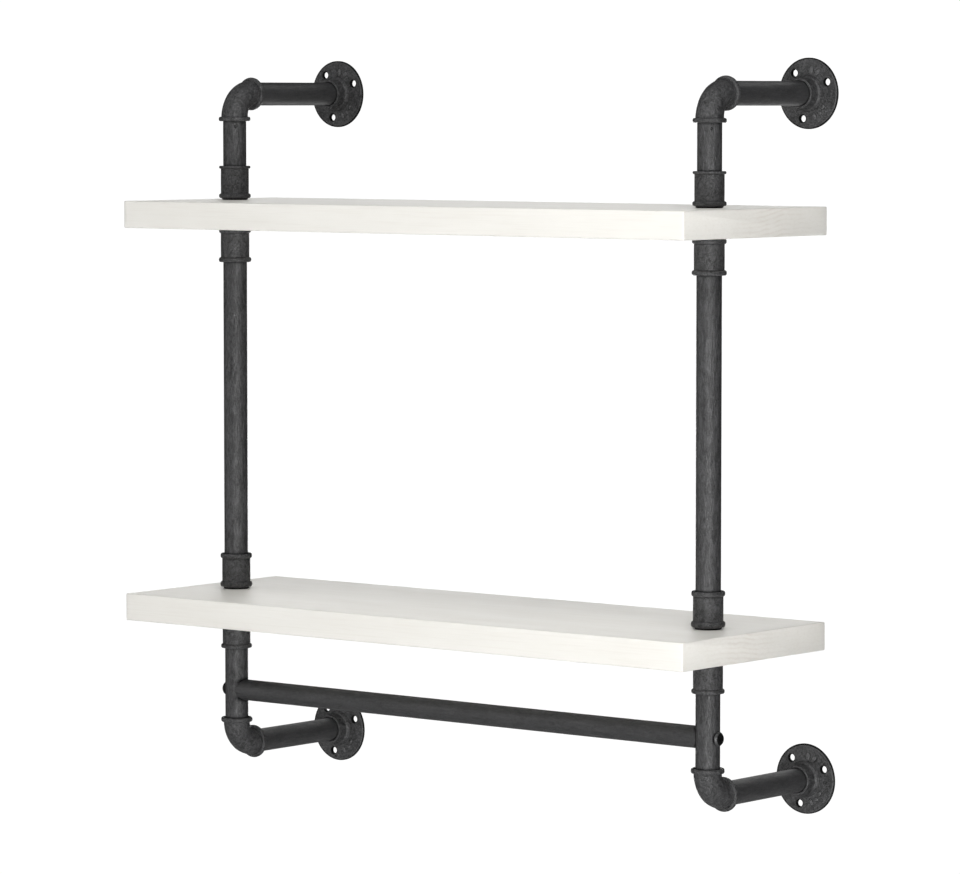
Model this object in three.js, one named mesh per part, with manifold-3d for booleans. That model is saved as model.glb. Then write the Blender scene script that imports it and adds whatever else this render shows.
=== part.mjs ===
// Pipe shelving unit: two boards on two pipe side frames that hang on a wall, with a round bar under the
// lower board. Millimetres, +Z up. The wall is the plane Y = 0, the front of the unit faces -Y, and the
// origin lies on the wall, midway between the uprights and midway between the upper and lower arms.

import * as THREE from 'three';
import * as BufferGeometryUtils from 'three/addons/utils/BufferGeometryUtils.js';
import Module from 'manifold-3d';

const wasm = await Module();
wasm.setup();

// ---------------------------------------------------------------- driving dimensions

const BOARD_LENGTH = 609.6;      // along X
const BOARD_DEPTH = 198;         // along Y
const BOARD_THICKNESS = 23.6;
const BOARD_FRONT_Y = -235.56;
const BOARD_EDGE = 0.8;          // eased edge
const UPPER_BOARD_Z = 183.36;    // middle of the thickness
const LOWER_BOARD_Z = -161.08;

const UPRIGHT_X = 260;           // half the distance between the uprights
const UPRIGHT_Y = -140.4;        // from the wall to the uprights' axes
const ARM_Z = 288.4;             // half the distance between the arms

const PIPE_R = 10.2;
const MIDDLE_PIPE_R = 10.45;     // the long pipes between the boards
const PIPE_BORE_R = 7.5;
const THREAD_LENGTH = 10;        // tapered end that goes into a fitting
const THREAD_START_R = 10.15;
const THREAD_END_R = 8.8;
const THREAD_SHOULDER = 0.3;     // length of the step from the tapered end to the full pipe
const THREAD_GAP = 0.3;          // between a tapered end and its socket
const SOCKET_MOUTH_R = THREAD_START_R + THREAD_GAP;
const SOCKET_END_R = THREAD_END_R + THREAD_GAP;
const SOCKET_DEPTH = THREAD_LENGTH + THREAD_GAP;

// Couplings: length, body radius, and two cast bands. A band is given by the distance of its middle from the
// end beside it, its outer radius and half its width. The first band is the one beside the board.
const COUPLINGS = {
  above_upper_board: { length: 29.75, body: 12.3, near: [3.35, 13.98, 1.95], far: [1.15, 13.78, 1.3] },
  below_upper_board: { length: 31.05, body: 12.55, near: [3.4, 14.1, 2.1], far: [2.05, 14.32, 2.2] },
  above_lower_board: { length: 31, body: 12.47, near: [3.75, 14.1, 2.45], far: [2.05, 13.92, 2.25] },
  below_lower_board: { length: 29.1, body: 12.3, near: [3.4, 14, 2.1], far: [1.6, 13.74, 1.8] },
};
const COUPLING_NECK_R = 11.35;
const BOARD_GAP = 0.2;           // between a coupling's end and the board

const ELBOW_REACH = 24;          // from the corner to each port's face
const ELBOW_BEND_R = 20;
const ELBOW_BODY_R = 11.4;
const ELBOW_UPRIGHT_BEAD_R = 13.92;              // the band round the port that takes the upright
const ELBOW_UPRIGHT_BEAD = { upper: 3.9, lower: 4.3 };
const ELBOW_ARM_BEAD_R = 14.5;                   // the band round the port that takes the arm
const ELBOW_ARM_BEAD = 4.4;

const FLANGE_R = 29.8;
const FLANGE_PLATE = 2.9;
const FLANGE_HUB_R = 12.5;
const FLANGE_HEIGHT = 15.3;
const FLANGE_BORE_R = 8.2;
const FLANGE_HOLE_R = 2.95;
const FLANGE_HOLE_CIRCLE_R = 21.7;
const FLANGE_HOLE_ANGLES = [26, 128.5, 256.5];   // degrees from +X towards +Z

const BOARD_HOLE_R = 10.6;

const BAR_Z = -239.35;
const BAR_R = 9.25;
const BAR_BORE_R = 7.6;
const BAR_SADDLE_R = PIPE_R + 0.3;

const PLUG_R = 7.3;
const PLUG_LENGTH = 14;
const PLUG_INSET = 12.5;         // from the upright's axis to the plug's outer end

const SCREW_R = 2.5;
const SCREW_LENGTH = 34;
const SCREW_HEAD_R = 5.9;
const SCREW_HEAD_HEIGHT = 2.7;
const SCREW_HOLE_R = 2.8;
const SCREW_KEY_R = 1.75;        // corner radius of the hex socket

const ROUND = 20;                // sides of a round section

// ---------------------------------------------------------------- materials

const blackPipe = { color: 0x3b3b3d, roughness: 0.62, metalness: 0.35 };
const blackCasting = { color: 0x38383a, roughness: 0.7, metalness: 0.3 };
const blackScrew = { color: 0x141415, roughness: 0.45, metalness: 0.5 };
const paleWood = { color: 0xe6e4de, roughness: 0.75, metalness: 0 };

// ---------------------------------------------------------------- geometry helpers

// A closed mesh with shared vertices, wound so that its faces point out.
function closed(geometry) {
  const g = geometry.clone();
  g.deleteAttribute('normal');
  g.deleteAttribute('uv');
  const merged = BufferGeometryUtils.mergeVertices(g, 1e-4);
  const p = merged.attributes.position;
  const src = merged.index.array;
  const tris = [];
  for (let i = 0; i < src.length; i += 3) {
    if (src[i] !== src[i + 1] && src[i + 1] !== src[i + 2] && src[i] !== src[i + 2]) tris.push(src[i], src[i + 1], src[i + 2]);
  }
  let volume = 0;
  const a = new THREE.Vector3(), b = new THREE.Vector3(), c = new THREE.Vector3();
  for (let i = 0; i < tris.length; i += 3) {
    a.fromBufferAttribute(p, tris[i]);
    b.fromBufferAttribute(p, tris[i + 1]);
    c.fromBufferAttribute(p, tris[i + 2]);
    volume += a.dot(b.cross(c));
  }
  if (volume < 0) for (let i = 0; i < tris.length; i += 3) [tris[i + 1], tris[i + 2]] = [tris[i + 2], tris[i + 1]];
  merged.setIndex(tris);
  merged.computeVertexNormals();
  return merged;
}

function toSolid(geometry) {
  const g = closed(geometry);
  return new wasm.Manifold(new wasm.Mesh({
    numProp: 3,
    vertProperties: new Float32Array(g.attributes.position.array),
    triVerts: new Uint32Array(g.index.array),
  }));
}

function toGeometry(solid) {
  const m = solid.getMesh();
  const g = new THREE.BufferGeometry();
  g.setAttribute('position', new THREE.BufferAttribute(new Float32Array(m.vertProperties), 3));
  g.setIndex(new THREE.BufferAttribute(new Uint32Array(m.triVerts), 1));
  g.computeVertexNormals();
  return g;
}

// Turns a closed outline of [radius, height] pairs about the local Z axis.
function turned(outline, sides = ROUND) {
  const pts = outline.map(([r, z]) => new THREE.Vector2(r, z));
  if (!pts[0].equals(pts[pts.length - 1]) && !(pts[0].x === 0 && pts[pts.length - 1].x === 0)) pts.push(pts[0].clone());
  return closed(new THREE.LatheGeometry(pts, sides).rotateX(Math.PI / 2));
}

// A plain round bar along local Z between two heights, tapered if the radii differ.
function rod(r0, r1, z0, z1, sides = ROUND) {
  return new THREE.CylinderGeometry(r1, r0, z1 - z0, sides).rotateX(Math.PI / 2).translate(0, 0, (z0 + z1) / 2);
}

// ---------------------------------------------------------------- pieces

// A pipe along local Z. Its tapered ends start at the mouths of the fittings, at 0 and at span.
function pipeGeometry(span, radius = PIPE_R) {
  return turned([
    [PIPE_BORE_R, -THREAD_LENGTH], [THREAD_END_R, -THREAD_LENGTH], [THREAD_START_R, 0], [radius, THREAD_SHOULDER],
    [radius, span - THREAD_SHOULDER], [THREAD_START_R, span], [THREAD_END_R, span + THREAD_LENGTH],
    [PIPE_BORE_R, span + THREAD_LENGTH],
  ]);
}

// A pipe drilled across along local X at a height, for a screw.
function drilledPipeGeometry(span, height) {
  const drill = rod(SCREW_HOLE_R, SCREW_HOLE_R, -20, 20, 16).rotateY(Math.PI / 2).translate(0, 0, height);
  return toGeometry(toSolid(pipeGeometry(span)).subtract(toSolid(drill)));
}

// A coupling along local Z, with its board end at 0. A short neck bears on the board, and a band runs
// round each end.
function couplingGeometry({ length, body, near, far }) {
  const [nearAt, nearTip, nearHalf] = near;
  const [farIn, farTip, farHalf] = far;
  const farAt = length - farIn;
  return turned([
    [COUPLING_NECK_R, 0], [COUPLING_NECK_R, nearAt - nearHalf],
    [nearTip, nearAt - 0.55 * nearHalf], [nearTip, nearAt + 0.55 * nearHalf], [body, nearAt + 1.2 * nearHalf],
    [body, farAt - 1.2 * farHalf], [farTip, farAt - 0.55 * farHalf], [farTip, farAt + 0.55 * farHalf],
    [farTip - 0.8, length], [SOCKET_MOUTH_R, length],
    [SOCKET_END_R, length - SOCKET_DEPTH], [SOCKET_END_R, SOCKET_DEPTH], [SOCKET_MOUTH_R, 0],
  ]);
}

// The centre line of an elbow: up from the lower port, round the bend, and back towards +Y.
class ElbowLine extends THREE.Curve {
  getPoint(t, target = new THREE.Vector3()) {
    const straight = ELBOW_REACH - ELBOW_BEND_R;
    const arc = ELBOW_BEND_R * Math.PI / 2;
    const s = t * (2 * straight + arc);
    if (s <= straight) return target.set(0, 0, -ELBOW_REACH + s);
    if (s >= straight + arc) return target.set(0, ELBOW_BEND_R + (s - straight - arc), 0);
    const a = (s - straight) / ELBOW_BEND_R;
    return target.set(0, ELBOW_BEND_R * (1 - Math.cos(a)), ELBOW_BEND_R * (Math.sin(a) - 1));
  }
}

function sweptCircle(r, sides, steps) {
  const shape = new THREE.Shape();
  for (let i = 0; i < sides; i += 1) {
    const a = (i + 0.5) * 2 * Math.PI / sides;
    if (i === 0) shape.moveTo(r * Math.cos(a), r * Math.sin(a)); else shape.lineTo(r * Math.cos(a), r * Math.sin(a));
  }
  shape.closePath();
  return new THREE.ExtrudeGeometry(shape, { extrudePath: new ElbowLine(), steps, bevelEnabled: false });
}

// A round-nosed band that starts at a port's face, along local Z.
function beadGeometry(r, width) {
  const start = -ELBOW_REACH, end = start + width;
  return turned([[0, start], [r - 0.8, start], [r, start + 0.2 * width], [r, end - 0.3 * width], [r - 1.2, end], [0, end]]);
}

// An elbow with its corner at the local origin, one port facing -Z for the upright and one facing +Y for the arm.
function elbowGeometry(uprightBead) {
  const body = toSolid(sweptCircle(ELBOW_BODY_R, ROUND, 9));
  const downBead = toSolid(beadGeometry(ELBOW_UPRIGHT_BEAD_R, uprightBead));
  const backBead = toSolid(beadGeometry(ELBOW_ARM_BEAD_R, ELBOW_ARM_BEAD).rotateX(Math.PI / 2));
  const over = 1;
  const slope = (SOCKET_MOUTH_R - SOCKET_END_R) / SOCKET_DEPTH;
  const socket = rod(SOCKET_MOUTH_R + over * slope, SOCKET_END_R, -ELBOW_REACH - over, -ELBOW_REACH + SOCKET_DEPTH);
  const waterway = toSolid(sweptCircle(PIPE_BORE_R, 14, 9));
  const inside = waterway.add(toSolid(socket)).add(toSolid(socket.clone().rotateX(Math.PI / 2)));
  return toGeometry(body.add(downBead).add(backBead).subtract(inside));
}

// A wall flange whose back face lies in the local XY plane and whose hub points along local +Z.
function flangeGeometry() {
  const T = FLANGE_PLATE, H = FLANGE_HEIGHT, R = FLANGE_R;
  const plate = toSolid(turned([
    [FLANGE_BORE_R, 0], [R - 0.3, 0], [R, 0.3], [R, T - 1.1], [R - 1.1, T], [15.3, T], [14.35, T + 2.1],
    [12.95, T + 3.8], [FLANGE_HUB_R, H - 0.6], [FLANGE_HUB_R - 0.6, H], [SOCKET_MOUTH_R, H],
    [SOCKET_END_R, H - SOCKET_DEPTH], [FLANGE_BORE_R, H - SOCKET_DEPTH],
  ], 28));
  let flange = plate;
  for (const angle of FLANGE_HOLE_ANGLES) {
    const a = angle * Math.PI / 180;
    // the flange is turned to face -Y, which keeps X and turns its local +Y into +Z
    const hole = rod(FLANGE_HOLE_R, FLANGE_HOLE_R, -1, T + 2, 14)
      .translate(FLANGE_HOLE_CIRCLE_R * Math.cos(a), FLANGE_HOLE_CIRCLE_R * Math.sin(a), 0);
    flange = flange.subtract(toSolid(hole));
  }
  return toGeometry(flange);
}

// A board with its long way along X, its middle at the local origin, and a hole for each upright.
function boardGeometry() {
  const L = BOARD_LENGTH / 2, D = BOARD_DEPTH / 2;
  const shape = new THREE.Shape();
  shape.moveTo(-L, -D);
  shape.lineTo(L, -D);
  shape.lineTo(L, D);
  shape.lineTo(-L, D);
  shape.closePath();
  const holeY = UPRIGHT_Y - (BOARD_FRONT_Y + D);
  for (const side of [-1, 1]) {
    const hole = new THREE.Path();
    hole.absarc(side * UPRIGHT_X, holeY, BOARD_HOLE_R + BOARD_EDGE, 0, 2 * Math.PI, true);
    shape.holes.push(hole);
  }
  const g = new THREE.ExtrudeGeometry(shape, {
    depth: BOARD_THICKNESS - 2 * BOARD_EDGE, curveSegments: ROUND / 2, bevelEnabled: true,
    bevelThickness: BOARD_EDGE, bevelSize: BOARD_EDGE, bevelOffset: -BOARD_EDGE, bevelSegments: 1,
  });
  return closed(g.translate(0, 0, -BOARD_THICKNESS / 2 + BOARD_EDGE));
}

// The bar along X, centred on the local origin, with its ends cut to sit against the uprights.
function barGeometry() {
  const along = (g) => g.rotateY(Math.PI / 2);
  let bar = toSolid(along(rod(BAR_R, BAR_R, -UPRIGHT_X, UPRIGHT_X)))
    .subtract(toSolid(along(rod(BAR_BORE_R, BAR_BORE_R, -UPRIGHT_X - 5, UPRIGHT_X + 5))));
  for (const side of [-1, 1]) {
    bar = bar.subtract(toSolid(rod(BAR_SADDLE_R, BAR_SADDLE_R, -15, 15, 28).translate(side * UPRIGHT_X, 0, 0)));
  }
  return toGeometry(bar);
}

// A plug along local Z with a hole for the screw.
function plugGeometry() {
  return turned([[SCREW_HOLE_R, 0], [PLUG_R - 0.5, 0], [PLUG_R, 0.5], [PLUG_R, PLUG_LENGTH], [SCREW_HOLE_R, PLUG_LENGTH]], 16);
}

// A low socket screw with a bevelled head, along local Z. The underside of its head lies at 0 and its shank
// runs to +Z.
function screwGeometry() {
  const H = SCREW_HEAD_HEIGHT, R = SCREW_HEAD_R;
  const body = turned([
    [0, SCREW_LENGTH], [SCREW_R - 0.6, SCREW_LENGTH], [SCREW_R, SCREW_LENGTH - 0.6], [SCREW_R, 0], [R, 0],
    [R, -H * 0.43], [R * 0.75, -H], [0, -H],
  ], 16);
  const key = rod(SCREW_KEY_R, SCREW_KEY_R, -H - 1, -H + 1.5, 6);
  return toGeometry(toSolid(body).subtract(toSolid(key)));
}

// ---------------------------------------------------------------- assembly

function piece(name, geometry, look) {
  const mesh = new THREE.Mesh(geometry, new THREE.MeshStandardMaterial({ ...look, name }));
  mesh.name = name;
  return mesh;
}

const unit = new THREE.Group();
unit.name = 'pipe_shelving_unit';

const board = boardGeometry();
for (const [level, z] of [['upper', UPPER_BOARD_Z], ['lower', LOWER_BOARD_Z]]) {
  const mesh = piece(`${level}_shelf_board`, board, paleWood);
  mesh.position.set(0, BOARD_FRONT_Y + BOARD_DEPTH / 2, z);
  unit.add(mesh);
}

// Heights along an upright, from the top down.
const HALF_BOARD = BOARD_THICKNESS / 2;
const flange = flangeGeometry();
const upperTop = UPPER_BOARD_Z + HALF_BOARD + BOARD_GAP;
const upperBottom = UPPER_BOARD_Z - HALF_BOARD - BOARD_GAP;
const lowerTop = LOWER_BOARD_Z + HALF_BOARD + BOARD_GAP;
const lowerBottom = LOWER_BOARD_Z - HALF_BOARD - BOARD_GAP;
const aboveUpper = upperTop + COUPLINGS.above_upper_board.length;
const belowUpper = upperBottom - COUPLINGS.below_upper_board.length;
const aboveLower = lowerTop + COUPLINGS.above_lower_board.length;
const belowLower = lowerBottom - COUPLINGS.below_lower_board.length;
const lowerFoot = -ARM_Z + ELBOW_REACH;
const armSpan = (-FLANGE_HEIGHT) - (UPRIGHT_Y + ELBOW_REACH);

const topNipple = pipeGeometry((ARM_Z - ELBOW_REACH) - aboveUpper);
const boardNipple = pipeGeometry(BOARD_THICKNESS + 2 * BOARD_GAP);
const middlePipe = pipeGeometry(belowUpper - aboveLower, MIDDLE_PIPE_R);
const lowerPipe = drilledPipeGeometry(belowLower - lowerFoot, BAR_Z - lowerFoot);
const armPipe = pipeGeometry(armSpan);

for (const [side, x] of [['left', -UPRIGHT_X], ['right', UPRIGHT_X]]) {
  const frame = new THREE.Group();
  frame.position.set(x, UPRIGHT_Y, 0);
  unit.add(frame);

  const upright = (name, geometry, look, z, flip = false) => {
    const mesh = piece(`${name}_${side}`, geometry, look);
    mesh.position.z = z;
    if (flip) mesh.rotation.x = Math.PI;
    frame.add(mesh);
  };
  upright('top_nipple', topNipple, blackPipe, aboveUpper);
  upright('board_nipple_upper', boardNipple, blackPipe, upperBottom);
  upright('middle_pipe', middlePipe, blackPipe, aboveLower);
  upright('board_nipple_lower', boardNipple, blackPipe, lowerBottom);
  upright('lower_pipe', lowerPipe, blackPipe, lowerFoot);
  for (const [kind, z] of [
    ['above_upper_board', upperTop], ['below_upper_board', upperBottom],
    ['above_lower_board', lowerTop], ['below_lower_board', lowerBottom],
  ]) {
    upright(`coupling_${kind}`, couplingGeometry(COUPLINGS[kind]), blackCasting, z, kind.startsWith('below'));
  }

  for (const [level, z] of [['upper', ARM_Z], ['lower', -ARM_Z]]) {
    const corner = piece(`elbow_${level}_${side}`, elbowGeometry(ELBOW_UPRIGHT_BEAD[level]), blackCasting);
    corner.position.z = z;
    if (z < 0) corner.rotation.y = Math.PI;
    frame.add(corner);

    const arm = piece(`arm_pipe_${level}_${side}`, armPipe, blackPipe);
    arm.position.set(0, ELBOW_REACH, z);
    arm.rotation.x = -Math.PI / 2;
    frame.add(arm);

    const wall = piece(`wall_flange_${level}_${side}`, flange, blackCasting);
    wall.position.set(0, -UPRIGHT_Y, z);
    wall.rotation.x = Math.PI / 2;
    frame.add(wall);
  }

  const inward = x < 0 ? 1 : -1;
  const plug = piece(`bar_plug_${side}`, plugGeometry(), blackScrew);
  plug.position.set(inward * PLUG_INSET, 0, BAR_Z);
  plug.rotation.y = inward * Math.PI / 2;
  frame.add(plug);

  const screw = piece(`bar_screw_${side}`, screwGeometry(), blackScrew);
  screw.position.set(-inward * (PIPE_R + 0.3), 0, BAR_Z);
  screw.rotation.y = inward * Math.PI / 2;
  frame.add(screw);
}

const bar = piece('towel_bar', barGeometry(), blackPipe);
bar.position.set(0, UPRIGHT_Y, BAR_Z);
unit.add(bar);

export default unit;
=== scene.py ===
import math

import bpy
import numpy as np
from mathutils import Matrix, Vector


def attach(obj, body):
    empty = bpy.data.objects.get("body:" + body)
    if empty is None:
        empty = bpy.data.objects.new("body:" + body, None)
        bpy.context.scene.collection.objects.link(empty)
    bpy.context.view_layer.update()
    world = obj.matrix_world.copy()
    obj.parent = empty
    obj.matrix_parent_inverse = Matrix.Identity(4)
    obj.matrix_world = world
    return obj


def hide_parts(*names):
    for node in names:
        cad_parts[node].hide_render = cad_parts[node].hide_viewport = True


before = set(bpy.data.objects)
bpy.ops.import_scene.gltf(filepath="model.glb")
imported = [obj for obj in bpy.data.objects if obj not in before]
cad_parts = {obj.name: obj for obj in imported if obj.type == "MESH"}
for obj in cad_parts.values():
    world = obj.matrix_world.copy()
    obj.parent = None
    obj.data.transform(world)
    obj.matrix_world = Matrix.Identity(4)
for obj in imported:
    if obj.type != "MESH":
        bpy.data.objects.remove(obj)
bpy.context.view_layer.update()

# ------------------------------------------------------------------ driving sizes, in millimetres

UPRIGHT_X, UPRIGHT_Y, ARM_Z = 260.0, -140.4, 288.4
BOARD_L, BOARD_D, BOARD_T = 609.6, 198.0, 23.6
BOARD_Y = -235.56 + BOARD_D / 2
UPPER_Z, LOWER_Z = 183.36, -161.08
PIPE_R, MIDDLE_R, PIPE_BORE_R, THREAD_L, THREAD_END_R = 10.2, 10.45, 7.5, 10.0, 8.8
MOUTH_R, SOCKET_END_R, SOCKET_L = 10.45, 9.1, 10.3
# couplings: length, body radius, then each cast band as (distance from the board, or from the far end; tip radius, depth, half width)
COUPLINGS = {
    "coupling_above_upper_board": (29.75, 12.3, (3.35, 13.98, 1.8, 1.95), (1.15, 13.78, 1.4, 1.3)),
    "coupling_below_upper_board": (31.05, 12.55, (3.4, 14.1, 1.8, 2.1), (2.05, 14.32, 2.1, 2.2)),
    "coupling_above_lower_board": (31.0, 12.47, (3.75, 14.1, 1.8, 2.45), (2.05, 13.92, 1.8, 2.25)),
    "coupling_below_lower_board": (29.1, 12.3, (3.4, 14.0, 1.8, 2.1), (1.6, 13.74, 1.5, 1.8)),
}
BOARD_GAP = 0.2
REACH, BEND_R = 24.0, 20.0
FLANGE_R, PLATE, HUB_R, HUB_H = 29.8, 2.9, 12.5, 15.3
HOLE_ANGLES, HOLE_CIRCLE, HOLE_R = (26.0, 128.5, 256.5), 21.7, 2.95
BAR_Z, BAR_R, BAR_BORE_R = -239.35, 9.25, 7.6
HEAD_R, HEAD_H, SHANK_R, SHANK_L = 5.9, 2.7, 2.5, 34.0

# ------------------------------------------------------------------ the camera, at the photograph's angle

IMAGE_W = 960
FOCAL_PX = 4745.61
AZ, EL, ROLL = map(math.radians, (39.158, 4.043, -0.013))
back = Vector((math.sin(AZ) * math.cos(EL), -math.cos(AZ) * math.cos(EL), math.sin(EL)))
right = Vector((math.cos(AZ), math.sin(AZ), 0.0))
up = back.cross(right)
right, up = (right * math.cos(ROLL) + up * math.sin(ROLL), up * math.cos(ROLL) - right * math.sin(ROLL))
spot = Vector((-0.013834, -0.1, -0.006117)) + back * 4.08124
cam_data = bpy.data.cameras.new("photo_camera")
cam_data.sensor_fit = "HORIZONTAL"
cam_data.sensor_width = 36.0
cam_data.lens = FOCAL_PX / IMAGE_W * 36.0
cam_data.clip_start, cam_data.clip_end = 0.05, 60.0
cam = bpy.data.objects.new("photo_camera", cam_data)
bpy.context.scene.collection.objects.link(cam)
cam.matrix_world = Matrix((
    (right.x, up.x, back.x, spot.x),
    (right.y, up.y, back.y, spot.y),
    (right.z, up.z, back.z, spot.z),
    (0.0, 0.0, 0.0, 1.0),
))
bpy.context.scene.camera = cam

# ------------------------------------------------------------------ smooth noise for surface relief


def lattice(seed):
    rng = np.random.RandomState(seed)
    perm = rng.permutation(256)
    grad = rng.normal(size=(256, 3))
    grad /= np.linalg.norm(grad, axis=1)[:, None]
    return np.concatenate([perm, perm, perm]), grad


TABLES = {}


def noise3(p, seed=0):
    """Smooth gradient noise, about -0.7 to 0.7, at points p of shape (n, 3)."""
    if seed not in TABLES:
        TABLES[seed] = lattice(seed)
    perm, grad = TABLES[seed]
    i = np.floor(p).astype(int)
    f = p - i
    i &= 255
    u = f * f * f * (f * (f * 6 - 15) + 10)
    out = np.zeros(len(p))
    for dx in (0, 1):
        for dy in (0, 1):
            for dz in (0, 1):
                g = grad[perm[(perm[(perm[(i[:, 0] + dx) & 255] + i[:, 1] + dy) & 255] + i[:, 2] + dz) & 255]]
                w = ((u[:, 0] if dx else 1 - u[:, 0]) * (u[:, 1] if dy else 1 - u[:, 1]) * (u[:, 2] if dz else 1 - u[:, 2]))
                out += w * ((f - (dx, dy, dz)) * g).sum(1)
    return out


def cloud(p, size, seed, octaves=3):
    """Noise with detail; size is the width of its largest lumps, in the units of p, one number or three."""
    q = p / np.array(size, float)
    out, amp = np.zeros(len(p)), 1.0
    for k in range(octaves):
        out += amp * noise3(q + 17.3 * (k + 1), seed + k)
        q, amp = q * 2.03, amp * 0.5
    return out


# ------------------------------------------------------------------ mesh building


def rounded(outline, steps=4):
    """outline is a list of (r, z) or (r, z, corner radius). Corners with a radius become short arcs."""
    pts, n = [], len(outline)
    for k, c in enumerate(outline):
        p = np.array(c[:2], float)
        rad = c[2] if len(c) > 2 else 0.0
        if rad <= 0:
            pts.append(p)
            continue
        a, b = np.array(outline[k - 1][:2], float) - p, np.array(outline[(k + 1) % n][:2], float) - p
        la, lb = np.linalg.norm(a), np.linalg.norm(b)
        a, b = a / la, b / lb
        half = math.acos(max(-1.0, min(1.0, float(a @ b)))) / 2
        t = min(rad / math.tan(half), 0.48 * la, 0.48 * lb)
        for s in np.linspace(0, 1, steps + 1):
            pts.append((1 - s) ** 2 * (p + a * t) + 2 * s * (1 - s) * p + s ** 2 * (p + b * t))
    return pts


def fine(pts, step, closed=True):
    """Splits long stretches of an outline so that no edge is longer than step."""
    out = []
    for k in range(len(pts) if closed else len(pts) - 1):
        a, b = np.array(pts[k], float), np.array(pts[(k + 1) % len(pts)], float)
        m = max(1, int(math.ceil(np.linalg.norm(b - a) / step)))
        out += [a + (b - a) * j / m for j in range(m)]
    if not closed:
        out.append(np.array(pts[-1], float))
    return out


def band(z, tip, depth, half, below, above, steps=18, blunt=2.5, foot=0.16):
    """Outline of a cast band: a blunt round nose centred at height z, with its outermost point at tip.
    below and above say what lies on either side: (body radius, fillet length) where the nose runs into
    the body in a hollow curve, or the distance from z to a flat end face. blunt is 2 for an ellipse and
    more for a squarer nose, and foot is how far up the nose its hollow curve starts."""
    rc, e = tip - depth, 2.0 / blunt

    def on(a):
        c, t = math.cos(a), math.sin(a)
        return rc + depth * math.copysign(abs(c) ** e, c), half * math.copysign(abs(t) ** e, t)

    def side(spec, sign):
        if not isinstance(spec, tuple):
            return [], math.asin(min(1.0, (spec / half) ** (1.0 / e)))
        body, f = spec
        q = (body + foot * (tip - body) - rc) / depth
        stop = math.acos(max(-1.0, min(1.0, math.copysign(abs(q) ** (1.0 / e), q))))
        p, near = on(stop), on(stop - 0.02)
        slope = (p[0] - near[0], p[1] - near[1])
        corner = p[1] + max(-0.5, min(0.5, slope[1] / slope[0])) * (body - p[0])
        end = corner + f
        pts = []
        for t in np.linspace(1, 0, steps // 2 + 1)[:-1]:
            r = (1 - t) ** 2 * p[0] + 2 * t * (1 - t) * body + t * t * body
            h = (1 - t) ** 2 * p[1] + 2 * t * (1 - t) * corner + t * t * end
            pts.append((r, z + sign * h))
        return pts, stop

    low, a0 = side(below, -1)
    high, a1 = side(above, 1)
    nose = []
    for a in np.linspace(-a0, a1, steps + 5):
        r, h = on(a)
        nose.append((r, z + h))
    return low + nose + high[::-1]


def turned(pts, segments):
    """Verts and faces of an outline [(r, z), ...] turned about Z. A closed ring, or a solid if its ends lie on the axis."""
    ring = not (abs(pts[0][0]) < 1e-9 and abs(pts[-1][0]) < 1e-9)
    ang = np.arange(segments) * 2 * math.pi / segments
    verts, rows = [], []
    for r, z in pts:
        if abs(r) < 1e-9:
            rows.append([len(verts)] * segments)
            verts.append((0.0, 0.0, z))
        else:
            rows.append(list(range(len(verts), len(verts) + segments)))
            verts += [(r * math.cos(t), r * math.sin(t), z) for t in ang]
    faces = []
    for k in range(len(rows) if ring else len(rows) - 1):
        a, b = rows[k], rows[(k + 1) % len(rows)]
        for j in range(segments):
            q = [a[j], a[(j + 1) % segments], b[(j + 1) % segments], b[j]]
            q = [v for i, v in enumerate(q) if v != q[i - 1]]
            if len(q) > 2:
                faces.append(q)
    return np.array(verts, float), faces


def raw_mesh(name, verts, faces):
    me = bpy.data.meshes.new(name)
    me.from_pydata([tuple(v) for v in verts], [], faces)
    me.validate()
    import bmesh
    bm = bmesh.new()
    bm.from_mesh(me)
    bmesh.ops.remove_doubles(bm, verts=bm.verts, dist=1e-5)
    bmesh.ops.recalc_face_normals(bm, faces=bm.faces)
    if bm.calc_volume(signed=True) < 0:
        bmesh.ops.reverse_faces(bm, faces=bm.faces)
    bm.to_mesh(me)
    bm.free()
    me.update()
    return me


def coords(me):
    co = np.empty(len(me.vertices) * 3)
    me.vertices.foreach_get("co", co)
    return co.reshape(-1, 3)


def normals(me):
    no = np.empty(len(me.vertices) * 3)
    me.vertex_normals.foreach_get("vector", no)
    return no.reshape(-1, 3)


def set_coords(me, co):
    me.vertices.foreach_set("co", np.asarray(co, np.float32).ravel())
    me.update()


def booleans(me, cutters=(), joined=()):
    """The mesh with each cutter taken away and each joined mesh added."""
    ob = bpy.data.objects.new("work", me)
    bpy.context.scene.collection.objects.link(ob)
    others = []
    for op, meshes in (("UNION", joined), ("DIFFERENCE", cutters)):
        for m in meshes:
            o = bpy.data.objects.new("tool", m)
            bpy.context.scene.collection.objects.link(o)
            others.append(o)
            mod = ob.modifiers.new("cut", "BOOLEAN")
            mod.operation, mod.object, mod.solver = op, o, "EXACT"
    bpy.context.view_layer.update()
    out = bpy.data.meshes.new_from_object(ob.evaluated_get(bpy.context.evaluated_depsgraph_get()))
    for o in [ob] + others:
        bpy.data.objects.remove(o)
    return out


def bends(me, co, no):
    """How sharply the surface bends at each vertex, per millimetre, above zero on outward edges."""
    e = np.empty(len(me.edges) * 2, int)
    me.edges.foreach_get("vertices", e)
    e = e.reshape(-1, 2)
    d = co[e[:, 0]] - co[e[:, 1]]
    length2 = np.maximum((d * d).sum(1), 1e-9)
    k = ((no[e[:, 0]] - no[e[:, 1]]) * d).sum(1) / length2
    total, count = np.zeros(len(co)), np.zeros(len(co))
    for c in (0, 1):
        np.add.at(total, e[:, c], k)
        np.add.at(count, e[:, c], 1)
    return total / np.maximum(count, 1)


PIECES = []


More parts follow.
